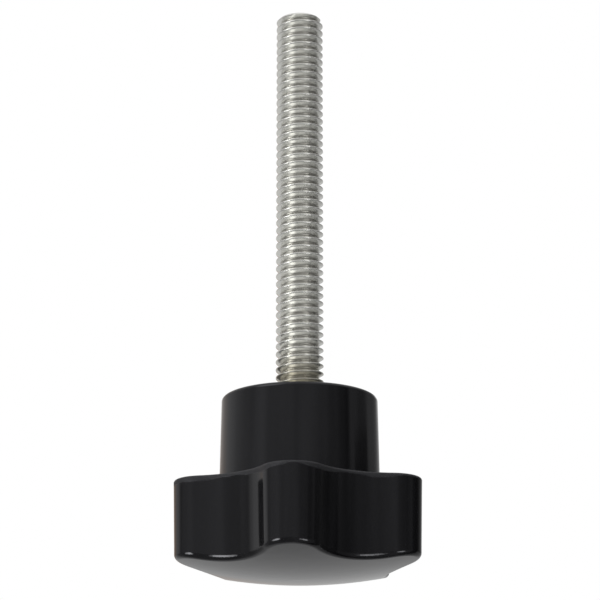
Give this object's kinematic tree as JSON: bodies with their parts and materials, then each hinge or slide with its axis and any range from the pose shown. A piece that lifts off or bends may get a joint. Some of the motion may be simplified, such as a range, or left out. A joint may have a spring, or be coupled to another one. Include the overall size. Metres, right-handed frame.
{
  "type": "star knob",
  "caption": "Black moulded star knob with rounded lobes, a domed face and a raised hub around a long threaded steel stud, for clamping or adjusting by hand.",
  "frame": {"origin": "centre of the hub's seating face, where the stud leaves the head", "axes": "+Z along the stud, from the head to the tip; one lobe of the star points along -Y"},
  "size_m": [0.0298, 0.0288, 0.0723],
  "materials": {
    "black_plastic": "polished moulded black",
    "zinc_steel": "bright zinc plate"
  },
  "bodies": {
    "root": {"knob_body": "black_plastic", "threaded_stud": "zinc_steel"}
  },
  "joints": []
}
